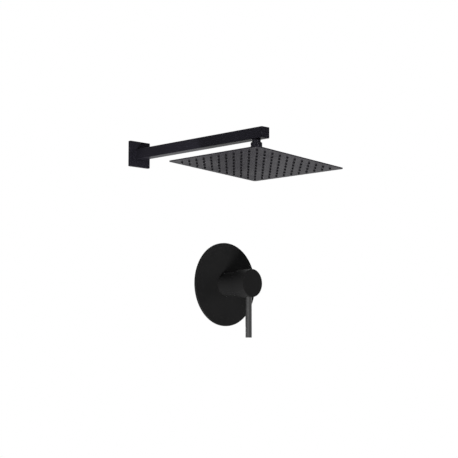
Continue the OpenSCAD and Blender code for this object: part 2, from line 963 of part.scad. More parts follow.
// Round trim plate with a rounded front edge and a shallow recess behind
module trim_plate() {
    recess_r = plate_d / 2 - plate_edge_r - 1 - gasket_w;
    groove_w = 2 * ring_wire_r + 2 * slip;
    groove_r = sleeve_r + 2 * ring_wire_r + 2 * slip;
    color(black)
        on_mixer()
            difference() {
                union() {
                    translate([0, 0, plate_back])
                        cylinder(r = plate_d / 2, h = plate_t - plate_edge_r);
                    translate([0, 0, plate_back])
                        cylinder(r = plate_d / 2 - plate_edge_r, h = plate_t);
                    translate([0, 0, plate_front - plate_edge_r])
                        round_ring(plate_d / 2 - plate_edge_r, plate_edge_r);
                }
                translate([0, 0, plate_back - 1])
                    cylinder(r = plate_hole_r, h = plate_t + 2);
                difference() {
                    translate([0, 0, plate_back - 1])
                        cylinder(r = recess_r, h = 1 + plate_recess);
                    translate([0, 0, plate_back - 2])
                        cylinder(r = groove_r + 3, h = plate_t);
                }
                translate([0, 0, plate_back + (plate_t - groove_w) / 2])
                    cylinder(r = groove_r, h = groove_w);
            }
}

// Tube that covers the cartridge between the plate and the hub
module sleeve() {
    edge = 0.5;
    color(black)
        on_mixer()
            difference() {
                union() {
                    translate([0, 0, sleeve_rear])
                        cylinder(r = sleeve_r, h = sleeve_front - sleeve_rear - edge);
                    translate([0, 0, sleeve_front - edge])
                        cylinder(r1 = sleeve_r, r2 = sleeve_r - edge, h = edge);
                }
                translate([0, 0, sleeve_rear - 1])
                    cylinder(r = sleeve_bore_r, h = sleeve_front);
            }
}

// ---- Mixer handle ----

// Round hub, hollow behind so that it can tilt over the front of the sleeve
module handle_hub() {
    socket_w = spindle_w + slip;
    color(black)
        on_mixer()
            difference() {
                union() {
                    translate([0, 0, hub_rear])
                        cylinder(r1 = hub_r - hub_chamfer, r2 = hub_r, h = hub_chamfer);
                    translate([0, 0, hub_rear + hub_chamfer])
                        cylinder(r = hub_r, h = hub_front - hub_rear - 2 * hub_chamfer);
                    translate([0, 0, hub_front - hub_chamfer])
                        cylinder(r1 = hub_r, r2 = hub_r - hub_chamfer, h = hub_chamfer);
                }
                difference() {
                    translate([0, 0, hub_rear - 1])
                        cylinder(r = hub_skirt_r, h = hub_hollow + 1);
                    translate([0, 0, hub_boss_rear])
                        cylinder(r = hub_boss_r, h = hub_hollow + 1);
                }
                translate([-socket_w / 2, -socket_w / 2, hub_rear])
                    cube([socket_w, socket_w, spindle_front - hub_rear + seat_gap]);
                translate([0, 0, lever_out])
                    rotate([90, 0, 0]) {
                        translate([0, 0, hub_r - lever_seat_depth])
                            cylinder(r = lever_r + running, h = lever_seat_depth + 1);
                        translate([0, 0, hub_r - lever_seat_depth - lever_stub_len])
                            cylinder(r = lever_stub_r + running, h = lever_stub_len + 1);
                    }
                translate([0, 0, set_screw_out])
                    rotate([0, 90, 0]) {
                        cylinder(r = set_screw_r + running, h = hub_r + 1);
                        translate([0, 0, hub_r - cover_t - 1])
                            cylinder(r = cover_r + running, h = cover_t + 2);
                    }
            }
}

// Straight rod screwed into the underside of the hub
module lever_rod() {
    color(black)
        on_mixer()
            translate([0, 0, lever_out])
                rotate([90, 0, 0]) {
                    translate([0, 0, hub_r - lever_seat_depth - lever_stub_len + slip])
                        cylinder(r = lever_stub_r, h = lever_stub_len);
                    translate([0, 0, hub_r - lever_seat_depth + slip])
                        cylinder(r = lever_r, h = lever_seat_depth - slip + lever_len - lever_chamfer);
                    translate([0, 0, hub_r + lever_len - lever_chamfer])
                        cylinder(r1 = lever_r, r2 = lever_r - lever_chamfer, h = lever_chamfer);
                }
}

// Grub screw that clamps the hub on the spindle, with a hexagon socket
module hub_set_screw() {
    socket_r = 1.45;
    socket_depth = 3;
    color(steel)
        on_mixer()
            translate([spindle_w / 2 + slip, 0, set_screw_out])
                rotate([0, 90, 0])
                    difference() {
                        cylinder(r = set_screw_r, h = set_screw_len);
                        translate([0, 0, set_screw_len - socket_depth])
                            cylinder(r = socket_r, h = socket_depth + 1, $fn = 6);
                    }
}

// Small plug that hides the grub screw
module set_screw_cover() {
    color(black)
        on_mixer()
            translate([hub_r - cover_t - 1 + slip, 0, set_screw_out])
                rotate([0, 90, 0])
                    cylinder(r = cover_r, h = cover_t);
}

wall_flange();
flange_seal();
shower_arm();
arm_inlet_nipple();
arm_end_cap();
arm_outlet_nipple();
inlet_filter();
inlet_washer();
flow_restrictor();
ball_stem();
upper_ball_liner();
lower_ball_liner();
swivel_collar();
head_inlet_boss();
head_top_plate();
head_face_plate();
nozzle_mat();
mixer_body();
cartridge_base();
cartridge_seals();
fixed_disc();
moving_disc();
disc_carrier();
cartridge_housing();
cartridge_rotor();
pivot_pin();
spindle();
retaining_nut();
sleeve_o_rings();
plate_o_ring();
plate_gasket();
trim_plate();
sleeve();
handle_hub();
lever_rod();
hub_set_screw();
set_screw_cover();
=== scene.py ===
"""Looks of the wall-mounted rain shower set: matte black arm, rain head and lever mixer."""

import json
import math

import bmesh
import bpy
from mathutils import Matrix, Vector


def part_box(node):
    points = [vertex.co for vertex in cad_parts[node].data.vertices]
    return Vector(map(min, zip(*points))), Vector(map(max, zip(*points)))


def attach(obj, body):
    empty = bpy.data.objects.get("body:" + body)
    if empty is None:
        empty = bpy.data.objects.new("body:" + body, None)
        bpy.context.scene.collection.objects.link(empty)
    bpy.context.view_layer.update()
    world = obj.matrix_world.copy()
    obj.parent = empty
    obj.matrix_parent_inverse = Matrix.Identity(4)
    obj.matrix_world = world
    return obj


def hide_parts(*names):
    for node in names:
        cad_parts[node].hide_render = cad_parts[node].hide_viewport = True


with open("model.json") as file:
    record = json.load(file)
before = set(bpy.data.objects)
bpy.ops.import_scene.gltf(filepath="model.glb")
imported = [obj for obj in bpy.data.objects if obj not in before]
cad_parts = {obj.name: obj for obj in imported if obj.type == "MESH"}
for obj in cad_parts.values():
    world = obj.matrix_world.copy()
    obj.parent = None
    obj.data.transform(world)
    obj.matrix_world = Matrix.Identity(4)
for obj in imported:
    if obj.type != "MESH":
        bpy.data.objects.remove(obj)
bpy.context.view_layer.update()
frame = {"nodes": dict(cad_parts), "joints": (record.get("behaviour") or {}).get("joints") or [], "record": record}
MM = 0.001
AXIS_R = 0.02 * MM  # a profile that meets its own axis starts this far from it
SLIP = 0.1 * MM  # gap of a seated part
RUNNING = 0.05 * MM  # gap of a part in its socket
SHARP_ANGLE = 35

# ---------------------------------------------------------------- shared shapes


def size_of(node):
    """Lowest corner, highest corner, middle and extent of a CAD node."""
    low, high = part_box(node)
    return low, high, (low + high) / 2, high - low


def fillet(points, steps=5):
    """Rounds a 2D path. Each point is (a, b) or (a, b, radius); open ends stay sharp."""
    path = []
    for i, point in enumerate(points):
        here = Vector(point[:2])
        radius = point[2] if len(point) > 2 else 0.0
        if radius <= 0 or i in (0, len(points) - 1):
            path.append(here)
            continue
        back = Vector(points[i - 1][:2]) - here
        ahead = Vector(points[i + 1][:2]) - here
        half = back.angle(ahead) / 2
        run = radius / math.tan(half)
        start = here + back.normalized() * run
        end = here + ahead.normalized() * run
        centre = here + (back.normalized() + ahead.normalized()).normalized() * (radius / math.sin(half))
        sweep = (start - centre).angle_signed(end - centre)
        for k in range(steps + 1):
            arm = (start - centre).copy()
            arm.rotate(Matrix.Rotation(-sweep * k / steps, 2))
            path.append(centre + arm)
    return path


def ring_round(radius, count):
    """Outline of a circle."""
    turns = [2 * math.pi * k / count for k in range(count)]
    return [(radius * math.cos(t), radius * math.sin(t)) for t in turns]


def ring_square(half, corner, steps=6):
    """Outline of a square with round corners."""
    corner = max(corner, 0.02 * MM)
    outline = []
    for quarter in range(4):
        turn = math.pi / 2 * quarter
        centre = Vector((half - corner, half - corner))
        centre.rotate(Matrix.Rotation(turn, 2))
        for k in range(steps + 1):
            angle = turn + math.pi / 2 * k / steps
            outline.append((centre.x + corner * math.cos(angle), centre.y + corner * math.sin(angle)))
    return outline


def bridge(bm, low, high):
    """Joins two rings of vertices by a band of quads."""
    for k in range(len(low)):
        nxt = (k + 1) % len(low)
        bm.faces.new((low[k], low[nxt], high[nxt], high[k]))


def ring_rows(bm, rings, place):
    """Makes the vertices of a row of outlines. Each ring is (outline, height)."""
    return [[bm.verts.new(place @ Vector((x, y, height))) for x, y in outline] for outline, height in rings]


def add_solid(bm, rings, place):
    """Adds a closed body through a row of outlines, with a flat cap at each end."""
    rows = ring_rows(bm, rings, place)
    for low, high in zip(rows, rows[1:]):
        bridge(bm, low, high)
    bm.faces.new(list(reversed(rows[0])))
    bm.faces.new(rows[-1])


def skin(name, rings, place, closed=False):
    """Piece through a row of outlines: capped at both ends, or closed on itself as a hollow ring."""
    bm = bmesh.new()
    if closed:
        rows = ring_rows(bm, rings, place)
        for low, high in zip(rows, rows[1:] + rows[:1]):
            bridge(bm, low, high)
    else:
        add_solid(bm, rings, place)
    return finished(name, bm)


def smooth(mesh):
    """Smooth shading, with edges kept sharp above the sharp angle."""
    mesh.polygons.foreach_set("use_smooth", [True] * len(mesh.polygons))
    mesh.set_sharp_from_angle(angle=math.radians(SHARP_ANGLE))


def finished(name, bm):
    """Turns a bmesh into an object with smooth faces and even normals."""
    bmesh.ops.recalc_face_normals(bm, faces=bm.faces)
    mesh = bpy.data.meshes.new(name)
    bm.to_mesh(mesh)
    bm.free()
    smooth(mesh)
    piece = bpy.data.objects.new(name, mesh)
    bpy.context.scene.collection.objects.link(piece)
    weighted = piece.modifiers.new("even_normals", "WEIGHTED_NORMAL")
    weighted.keep_sharp = True
    weighted.weight = 100
    return piece


def turned(name, profile, place, count):
    """Solid body of revolution. The profile's points are (radius, height, optional fillet)."""
    return skin(name, [(ring_round(p.x, count), p.y) for p in fillet(profile)], place)


def around(profile, steps=5):
    """Rounded path of a closed profile whose first point lies on a straight side."""
    return fillet(profile + [profile[0][:2]], steps)[:-1]


def looped(name, profile, place, count=128):
    """Hollow body of revolution from a closed profile."""
    return skin(name, [(ring_round(p.x, count), p.y) for p in around(profile)], place, closed=True)


def square_rings(path, half, corner):
    """Square outlines along a path; the corner radius follows the width, so that walls stay even."""
    return [(ring_square(p.x, corner - (half - p.x)), p.y) for p in path]


def cut(piece, tool):
    """Cuts the tool's volume out of the piece and removes the tool."""
    weighted = piece.modifiers["even_normals"]
    weighted.show_viewport = False
    boolean = piece.modifiers.new("cut", "BOOLEAN")
    boolean.object = tool
    boolean.operation = "DIFFERENCE"
    boolean.solver = "EXACT"
    graph = bpy.context.evaluated_depsgraph_get()
    graph.update()
    mesh = bpy.data.meshes.new_from_object(piece.evaluated_get(graph))
    piece.modifiers.remove(boolean)
    weighted.show_viewport = True
    piece.data = mesh
    smooth(mesh)
    bpy.data.objects.remove(tool)


def off_wall(x, z):
    """Matrix of an axis that leaves the wall at (x, z): local Z points into the room, local Y up."""
    return Matrix.Translation((x, 0, z)) @ Matrix.Rotation(math.radians(90), 4, "X")


# ---------------------------------------------------------------- sizes from the frame

joint = {j["name"]: j for j in frame["joints"]}
ball = Vector(joint["head_tilt_side"]["pos_m"])
valve = Vector(joint["handle_lift"]["pos_m"])
spin = Vector(joint["head_spin"]["axis"])
head_turn = Vector((0, 0, 1)).rotation_difference(spin).to_matrix().to_4x4()
at_ball = Matrix.Translation(ball)
at_head = at_ball @ head_turn
on_wall = off_wall(0, 0)
on_mixer = off_wall(valve.x, valve.z)


def in_head(node):
    """Lowest and highest corner of a node of the head, in the head's own level frame."""
    flat = at_head.inverted()
    corners = [flat @ v.co for v in frame["nodes"][node].data.vertices]
    low = Vector([min(c[i] for c in corners) for i in range(3)])
    high = Vector([max(c[i] for c in corners) for i in range(3)])
    return low, high


# ---------------------------------------------------------------- materials


def new_material(name, base, roughness, specular, metallic=0.0):
    """Principled material; numbers that are the same all over sit on the shader itself."""
    material = bpy.data.materials.new(name)
    material.use_nodes = True
    shader = material.node_tree.nodes["Principled BSDF"]
    shader.inputs["Base Color"].default_value = (*base, 1)
    shader.inputs["Roughness"].default_value = roughness
    shader.inputs["Specular IOR Level"].default_value = specular
    shader.inputs["Metallic"].default_value = metallic
    return material, material.node_tree, shader


def noise(tree, scale, detail, stretch=(1, 1, 1)):
    """Noise in object coordinates; the scale is in features per metre."""
    coords = tree.nodes.new("ShaderNodeTexCoord")
    mapping = tree.nodes.new("ShaderNodeMapping")
    mapping.inputs["Scale"].default_value = stretch
    texture = tree.nodes.new("ShaderNodeTexNoise")
    texture.inputs["Scale"].default_value = scale
    texture.inputs["Detail"].default_value = detail
    tree.links.new(coords.outputs["Object"], mapping.inputs["Vector"])
    tree.links.new(mapping.outputs["Vector"], texture.inputs["Vector"])
    return texture.outputs["Fac"]


def spread(tree, value, low, high):
    """Maps a noise value to a range of numbers."""
    span = tree.nodes.new("ShaderNodeMapRange")
    span.inputs["From Min"].default_value = 0.3
    span.inputs["From Max"].default_value = 0.7
    span.inputs["To Min"].default_value = low
    span.inputs["To Max"].default_value = high
    tree.links.new(value, span.inputs["Value"])
    return span.outputs["Result"]


def tint(tree, value, dark, light):
    """Mixes two colours by a value."""
    mix = tree.nodes.new("ShaderNodeMix")
    mix.data_type = "RGBA"
    mix.inputs["A"].default_value = (*dark, 1)
    mix.inputs["B"].default_value = (*light, 1)
    tree.links.new(value, mix.inputs["Factor"])
    return mix.outputs["Result"]


def bump(tree, shader, height, distance, strength):
    """Gives the shader a fine relief from a height."""
    node = tree.nodes.new("ShaderNodeBump")
    node.inputs["Distance"].default_value = distance
    node.inputs["Strength"].default_value = strength
    tree.links.new(height, node.inputs["Height"])
    tree.links.new(node.outputs["Normal"], shader.inputs["Normal"])


COAT_CLOUDS = 14
COAT_GRAIN = 2600
COAT_RELIEF = 0.03 * MM


def powder_coat(name, dark, light, rough, specular):
    """Matte black coat: fine grain, faint cloudiness in colour and sheen."""
    material, tree, shader = new_material(name, light, rough[0], specular)
    cloud = noise(tree, COAT_CLOUDS, 4)
    grain = noise(tree, COAT_GRAIN, 2)
    tree.links.new(tint(tree, cloud, dark, light), shader.inputs["Base Color"])
    tree.links.new(spread(tree, cloud, *rough), shader.inputs["Roughness"])
    bump(tree, shader, grain, COAT_RELIEF, 0.25)
    return material


coat = powder_coat(
    "matte_black", (0.0094, 0.0089, 0.0122), (0.0152, 0.0144, 0.0193),
    rough=(0.27, 0.35), specular=0.020)
trim_coat = powder_coat(
    "matte_black_trim", (0.0098, 0.0098, 0.0099), (0.0158, 0.0158, 0.0160),
    rough=(0.27, 0.35), specular=0.020)
# Lever coat: the black coat with a lighter base colour, which is a painted highlight on the lever, and a higher
# specular level than the rest
lever_painted_highlight_coat = powder_coat(
    "matte_black_lever_painted_highlight", (0.0150, 0.0150, 0.0151), (0.0220, 0.0220, 0.0222),
    rough=(0.32, 0.38), specular=0.42)
face_coat = powder_coat(
    "spray_face", (0.0090, 0.0081, 0.0105), (0.0145, 0.0133, 0.0166),
    rough=(0.34, 0.44), specular=0.035)


def mottled(name, dark, light, rough, specular, scale, relief, metallic=0.0, stretch=(1, 1, 1)):
    """Material with a mottled colour and sheen, and a relief eight times as fine."""
    material, tree, shader = new_material(name, light, rough, specular, metallic)
    cloud = noise(tree, scale, 4, stretch)
    tree.links.new(tint(tree, cloud, dark, light), shader.inputs["Base Color"])
    tree.links.new(spread(tree, cloud, rough * 0.85, min(1.0, rough * 1.15)), shader.inputs["Roughness"])
    bump(tree, shader, noise(tree, scale * 8, 2, stretch), relief, 0.4)
    return material


silicone = mottled(
    "nozzle_silicone", (0.0024, 0.0024, 0.0028), (0.0048, 0.0046, 0.0054),
    rough=0.40, specular=0.06, scale=300, relief=0.02 * MM)
nitrile = mottled(
    "black_rubber", (0.010, 0.010, 0.010), (0.018, 0.018, 0.018),
    rough=0.6, specular=0.35, scale=200, relief=0.03 * MM)
foam = mottled(
    "foam", (0.030, 0.030, 0.032), (0.060, 0.060, 0.062),
    rough=0.9, specular=0.2, scale=900, relief=0.2 * MM)
raw_brass = mottled(
    "raw_brass", (0.50, 0.34, 0.13), (0.66, 0.49, 0.24),
    rough=0.34, specular=0.5, scale=90, relief=0.04 * MM, metallic=1.0)
stainless = mottled(
    "stainless", (0.50, 0.51, 0.53), (0.66, 0.67, 0.69),
    rough=0.28, specular=0.5, scale=300, relief=0.02 * MM, metallic=1.0, stretch=(1, 12, 1))
acetal = mottled(
    "acetal", (0.66, 0.64, 0.58), (0.76, 0.74, 0.69),
    rough=0.42, specular=0.45, scale=60, relief=0.02 * MM)
ceramic = mottled(
    "ceramic", (0.80, 0.78, 0.73), (0.88, 0.86, 0.81),
    rough=0.22, specular=0.5, scale=120, relief=0.01 * MM)

finish_of_slot = {
    "matte_black": coat, "spray_face": face_coat, "nozzle_silicone": silicone,
    "black_rubber": nitrile, "foam": foam, "raw_brass": raw_brass,
    "stainless": stainless, "acetal": acetal, "ceramic": ceramic,
}
slot_of_node = {part["node"]: part["material_slot"] for part in frame["record"]["subparts"]}


def paint(piece, material):
    """Gives every face of a piece one material."""
    piece.data.materials.clear()
    piece.data.materials.append(material)


for node, carried in frame["nodes"].items():
    paint(carried, finish_of_slot[slot_of_node[node]])


def stands_for(piece, node, body):
    """The piece rides on the body, takes the node's finish and stands for it."""
    paint(piece, finish_of_slot[slot_of_node[node]])
    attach(piece, body)
    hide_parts(node)
    return piece


# ---------------------------------------------------------------- arm and flange

TUBE_WALL = 1.5 * MM
TUBE_CORNER = 1.1 * MM
TUBE_SEAM = 0.25 * MM
FLANGE_CORNER = 1.5 * MM


def make_flange():
    """Square shell against the wall, with the arm's square hole."""
    _, _, _, extent = size_of("wall_flange")
    half, depth = extent.x / 2, extent.y
    hole = size_of("shower_arm")[3].x / 2 + 0.3 * MM
    profile = [
        (half, depth / 2), (half, depth, 0.9 * MM), (hole, depth, 0.2 * MM), (hole, depth - TUBE_WALL),
        (half - TUBE_WALL, depth - TUBE_WALL), (half - TUBE_WALL, 0), (half, 0),
    ]
    rings = square_rings(around(profile), half, FLANGE_CORNER)
    stands_for(skin("flange_shell", rings, on_wall, closed=True), "wall_flange", "root")


def make_arm():
    """Square tube, open at both ends, with the outlet's port drilled in its underside."""
    low, high, _, extent = size_of("shower_arm")
    half, rear, front = extent.x / 2, -high.y, -low.y
    profile = [
        (half, (rear + front) / 2), (half, front, TUBE_SEAM), (half - TUBE_WALL, front),
        (half - TUBE_WALL, rear), (half, rear, TUBE_SEAM),
    ]
    arm = skin("arm_tube", square_rings(around(profile), half, TUBE_CORNER), on_wall, closed=True)
    port_r = size_of("arm_outlet_nipple")[3].x / 2 - 1 * MM
    cut(arm, turned("arm_drill", [(port_r, 5 * MM), (port_r, 30 * MM)], at_ball, 64))
    stands_for(arm, "shower_arm", "root")


def make_arm_end():
    """Lid in the arm's free end, with its plug inside the tube."""
    low, high, _, _ = size_of("arm_end_cap")
    arm_low, _, _, arm = size_of("shower_arm")
    half, front, end = arm.x / 2, -arm_low.y, -low.y
    plug = half - TUBE_WALL - RUNNING
    profile = [
        (plug, -high.y), (plug, front), (half, front, TUBE_SEAM), (half, end, 0.45 * MM),
        (half - 1 * MM, end),
    ]
    rings = square_rings(fillet(profile), half, TUBE_CORNER)
    stands_for(skin("arm_end_lid", rings, on_wall), "arm_end_cap", "root")


# ---------------------------------------------------------------- swivel

BALL_R = 10 * MM
BALL_NECK_R = 6.5 * MM
BALL_BORE_R = 3.2 * MM
SOCKET_R = 11.3 * MM
SOCKET_MOUTH_ANGLE = 60
THREAD_BORE_R = 10.53 * MM
HEAD_INLET_R = 5 * MM


def arc(radius, start, end, steps=16):
    """Points of an arc about the origin, as (radius from the axis, height); angles from the axis."""
    angles = [math.radians(start + (end - start) * k / steps) for k in range(steps + 1)]
    return [(radius * math.sin(a), radius * math.cos(a)) for a in angles]


def make_nipple():
    """Threaded neck below the arm, with the rounded bead where it is soldered on."""
    low, high, _, extent = size_of("arm_outlet_nipple")
    bottom, top = low.z - ball.z, high.z - ball.z
    shoulder = size_of("ball_stem")[1].z - ball.z - 0.5 * MM
    under = size_of("shower_arm")[0].z - ball.z
    thread, neck, bore, bead = extent.x / 2, 9 * MM, 6.5 * MM, 1.2 * MM
    profile = [
        (bore, (bottom + top) / 2), (bore, bottom), (thread, bottom, 0.3 * MM), (thread, shoulder),
        (neck, shoulder), (neck, under - bead, 0.7 * MM), (neck + bead, under - RUNNING),
        (neck, under), (neck, top), (bore, top),
    ]
    stands_for(looped("outlet_neck", profile, at_ball), "arm_outlet_nipple", "root")


def make_stem():
    """Nut with two flats, its neck and the ball, in one piece."""
    low, high, _, extent = size_of("ball_stem")
    top, base = high.z - ball.z, low.z - ball.z
    nut, half_flats, edge = extent.x / 2, 11.3 * MM, 0.8 * MM
    drop = 12 * MM
    floor = top - 9 * MM
    start = math.degrees(math.acos(max(-1.0, base / BALL_R)))
    end = math.degrees(math.asin(BALL_NECK_R / BALL_R))
    profile = [
        (BALL_BORE_R, 0), (BALL_BORE_R, base), *arc(BALL_R, start, end),
        (BALL_NECK_R, drop, 0.4 * MM), (nut - edge, drop, 0.15 * MM), (nut, drop + edge, 0.2 * MM),
        (nut, top - edge, 0.2 * MM), (nut - edge, top, 0.15 * MM), (THREAD_BORE_R, top),
        (THREAD_BORE_R, floor), (BALL_BORE_R, floor),
    ]
    rings = []
    for p in around(profile):
        outline = ring_round(p.x, 160)
        if p.y > drop - 0.01 * MM:
            outline = [(x, max(-half_flats, min(half_flats, y))) for x, y in outline]
        rings.append((outline, p.y))
    stands_for(skin("swivel_nut_and_ball", rings, at_ball, closed=True), "ball_stem", "root")


def make_collar():
    """Collar that holds the ball, with two grip grooves."""
    low, high = in_head("swivel_collar")
    radius, bottom, top = high.x, low.z, high.z
    thread = radius - 2.4 * MM + RUNNING
    lip = SOCKET_R * math.sin(math.radians(SOCKET_MOUTH_ANGLE))
    groove, depth, edge = 1.2 * MM, 0.5 * MM, 0.15 * MM
    grooves = []
    for z in (bottom + 3 * MM, bottom + 7 * MM):
        grooves += [
            (radius, z, edge), (radius - depth, z, edge),
            (radius - depth, z + groove, edge), (radius, z + groove, edge),
        ]
    split = -4 * MM
    split_angle = math.degrees(math.acos(split / SOCKET_R))
    profile = [
        (thread, (bottom + split) / 2), (thread, bottom, 0.2 * MM), (radius, bottom, 0.5 * MM), *grooves,
        (radius, 1.5 * MM, 0.8 * MM), (lip + 1.6 * MM, top, 0.3 * MM), (lip, top, 0.2 * MM),
        *arc(SOCKET_R, SOCKET_MOUTH_ANGLE, split_angle), (thread, split),
    ]
    stands_for(looped("ball_collar", profile, at_head), "swivel_collar", "head")


def make_boss():
    """Threaded boss with its round flange on the top plate."""
    low, high = in_head("head_inlet_boss")
    bottom, top, flange_r = low.z, high.z, high.x
    flange_top = bottom + 3.3 * MM
    thread = flange_r - 3.9 * MM
    start = math.degrees(math.acos(top / SOCKET_R))
    end = 180 - math.degrees(math.asin(HEAD_INLET_R / SOCKET_R))
    profile = [
        (HEAD_INLET_R, bottom + 1 * MM), (HEAD_INLET_R, bottom), (flange_r, bottom),
        (flange_r, flange_top, 0.6 * MM), (thread, flange_top, 0.3 * MM), (thread, top),
        *arc(SOCKET_R, start, end),
    ]
    stands_for(looped("head_boss", profile, at_head), "head_inlet_boss", "head")


# ---------------------------------------------------------------- rain head

HEAD_CORNER = 5 * MM
LEAST_CORNER = 0.05 * MM
CORNER_STEPS = 8
NOZZLE_R = 2.3 * MM
NOZZLE_COUNT = 11
NOZZLE_SIDES = 24
MAT_BORDER = 5 * MM


def head_outline(reach, full):
    """Square outline of the head at a reach from its axis, and a circle at the inlet hole."""
    at_hole = reach <= HEAD_INLET_R + SLIP
    corner = reach if at_hole else max(LEAST_CORNER, HEAD_CORNER - (full - reach))
    return ring_square(reach, corner, CORNER_STEPS)


def make_top_plate():
    """Pressed lid: flat rim, a slope with soft bends, and a flat middle with the inlet hole."""
    low, high = in_head("head_top_plate")
    full, bottom, top = high.x, low.z, high.z
    rim, sheet, bend = 1.2 * MM, 0.8 * MM, 9 * MM
    slope_end = full - 40 * MM
    lip = full - 5 * MM
    profile = [
        (full, bottom + rim / 2), (full, bottom + rim, 0.35 * MM), (slope_end, top, bend),
        (HEAD_INLET_R, top), (HEAD_INLET_R, top - sheet), (slope_end, top - sheet, bend),
        (lip, bottom + 0.9 * MM), (lip, bottom), (full, bottom),
    ]
    rings = [(head_outline(p.x, full), p.y) for p in around(profile, 8)]
    stands_for(skin("head_lid", rings, at_head, closed=True), "head_top_plate", "head")


def nozzle_places():
    """Centres of the nozzles in the head's own frame."""
    mat_low, mat_high = in_head("nozzle_mat")
    first = mat_low.x + MAT_BORDER
    pitch = (mat_high.x - mat_low.x - 2 * MAT_BORDER) / (NOZZLE_COUNT - 1)
    steps = [first + i * pitch for i in range(NOZZLE_COUNT)]
    return [(x, y) for x in steps for y in steps]


def ring_at(x, y, radius):
    """Circle round a nozzle's centre."""
    return [(x + cx, y + cy) for cx, cy in ring_round(radius, NOZZLE_SIDES)]


def make_face_plate():
    """Face sheet with an edge chamfer and a small chamfered hole round every nozzle."""
    low, high = in_head("head_face_plate")
    full, bottom, top = high.x, low.z, high.z
    hole, chamfer, edge = NOZZLE_R + 0.2 * MM, 0.15 * MM, 0.3 * MM
    bm = bmesh.new()
    stacks = [ring_rows(bm, [
        (ring_square(full - edge, HEAD_CORNER - edge, CORNER_STEPS), bottom),
        (ring_square(full, HEAD_CORNER, CORNER_STEPS), bottom + edge),
        (ring_square(full, HEAD_CORNER, CORNER_STEPS), top),
    ], at_head)]
    for x, y in nozzle_places():
        stacks.append(ring_rows(bm, [
            (ring_at(x, y, hole + chamfer), bottom),
            (ring_at(x, y, hole), bottom + chamfer),
            (ring_at(x, y, hole), top),
        ], at_head))
    for lowest, middle, highest in stacks:
        bridge(bm, lowest, middle)
        bridge(bm, middle, highest)
    for level in (0, 2):
        rims = [stack[level] for stack in stacks]
        edges = [bm.edges.get((rim[k - 1], rim[k])) for rim in rims for k in range(len(rim))]
        bmesh.ops.triangle_fill(bm, edges=edges, use_beauty=True)
    stands_for(finished("spray_face_sheet", bm), "head_face_plate", "head")


def make_nozzles():
    """Silicone mat with its nozzles: each nub tapers to a rounded tip with a jet hole."""
    low, high = in_head("nozzle_mat")
    face_low, face_high = in_head("head_face_plate")
    tip_z, mat_z = low.z, face_high.z
    tip_r, jet = NOZZLE_R - 0.4 * MM, 0.6 * MM
    profile = [
        (NOZZLE_R, mat_z), (NOZZLE_R, face_low.z), (tip_r, tip_z, 0.45 * MM), (jet + 0.15 * MM, tip_z),
        (jet, tip_z + 0.2 * MM), (jet, mat_z - 0.2 * MM),
    ]
    path = fillet(profile, 4)
    bm = bmesh.new()
    for x, y in nozzle_places():
        add_solid(bm, [(ring_at(x, y, p.x), p.y) for p in path], at_head)
    half, bevel, corner = high.x, 0.3 * MM, 1 * MM
    add_solid(bm, [
        (ring_square(half - bevel, corner), mat_z),
        (ring_square(half, corner + bevel), mat_z + bevel),
        (ring_square(half, corner + bevel), high.z),
    ], at_head)
    stands_for(finished("silicone_nozzles", bm), "nozzle_mat", "head")


# ---------------------------------------------------------------- mixer

LEVER_SEAT = 7 * MM
PAST_HUB = 5 * MM  # how far a cutting tool stands out of the hub


def make_trim_plate():
    """Round plate with a rolled front edge."""
    low, high, _, extent = size_of("trim_plate")
    radius, back, front = extent.x / 2, -high.y, -low.y
    hole = size_of("sleeve")[3].x / 2 + 0.4 * MM
    profile = [
        (hole, (back + front) / 2), (hole, back), (radius, back, 0.2 * MM), (radius, front, 1.45 * MM),
        (hole, front, 0.3 * MM),
    ]
    plate = looped("round_plate", profile, on_mixer, 256)
    paint(stands_for(plate, "trim_plate", "root"), trim_coat)


def make_sleeve():
    """Plain tube over the cartridge, with softened ends."""
    low, high, _, extent = size_of("sleeve")
    radius, rear, front = extent.x / 2, -high.y, -low.y
    inside = radius - 2.2 * MM
    profile = [
        (radius, (rear + front) / 2), (radius, front, 0.5 * MM), (inside, front, 0.3 * MM),
        (inside, rear), (radius, rear, 0.2 * MM),
    ]
    sleeve = looped("cartridge_sleeve", profile, on_mixer, 192)
    paint(stands_for(sleeve, "sleeve", "root"), trim_coat)


def from_hub(node, angle, axis):
    """Matrix of an axis that leaves the hub at a node's depth, turned about a world axis."""
    depth = size_of(node)[2].y
    return Matrix.Translation((valve.x, depth, valve.z)) @ Matrix.Rotation(angle, 4, axis)


def hub_radius():
    """Outer radius of the hub."""
    return size_of("handle_hub")[3].x / 2


def make_hub():
    """Handle hub: hollow behind, a socket below for the lever and a small one at the right."""
    low, high, _, _ = size_of("handle_hub")
    radius, rear, front = hub_radius(), -high.y, -low.y
    skirt, boss, edge = 30.43 * MM, 8.5 * MM, 0.8 * MM
    floor, boss_end = rear + 18 * MM, rear + 8 * MM
    profile = [
        (AXIS_R, boss_end), (boss, boss_end, 0.3 * MM), (boss, floor, 0.4 * MM),
        (skirt, floor, 0.6 * MM), (skirt, rear, 0.2 * MM), (radius, rear, edge),
        (radius, front, edge), (AXIS_R, front),
    ]
    hub = turned("hub_shell", profile, on_mixer, 192)
    rod = size_of("lever_rod")[3].x / 2 + RUNNING
    plug = size_of("set_screw_cover")[3].z / 2 + RUNNING
    lever_socket = [(rod, radius - LEVER_SEAT), (rod, radius + PAST_HUB)]
    cover_socket = [(plug, radius - 4 * MM), (plug, radius + PAST_HUB)]
    cut(hub, turned("lever_socket", lever_socket, from_hub("lever_rod", math.pi, "X"), 64))
    cut(hub, turned("cover_socket", cover_socket, from_hub("set_screw_cover", math.pi / 2, "Y"), 48))
    paint(stands_for(hub, "handle_hub", "handle"), trim_coat)


